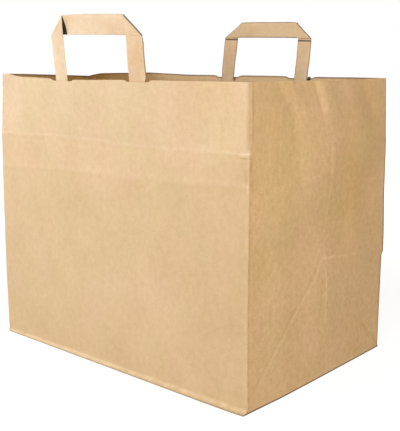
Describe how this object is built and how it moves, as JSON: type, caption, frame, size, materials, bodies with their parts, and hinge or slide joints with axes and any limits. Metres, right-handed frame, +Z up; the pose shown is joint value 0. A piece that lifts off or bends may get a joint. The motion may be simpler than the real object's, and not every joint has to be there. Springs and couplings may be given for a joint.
{
  "type": "paper carrier bag",
  "caption": "Plain brown kraft paper carrier bag, open at the top, with a block bottom, side gussets and flat paper strap handles glued inside its mouth.",
  "frame": {"origin": "middle of the bottom, on the plane that the bag stands on", "axes": "+Z up towards the mouth, +X along the wide panels, +Y from the front panel to the rear panel"},
  "size_m": [0.335, 0.2612, 0.3294],
  "materials": {
    "bag_paper": "matte",
    "strap_paper": "matte",
    "patch_paper": "matte"
  },
  "bodies": {
    "root": {"bag_body": "bag_paper", "front_handle": "strap_paper", "rear_handle": "strap_paper", "front_handle_patch": "patch_paper", "rear_handle_patch": "patch_paper"}
  },
  "joints": []
}
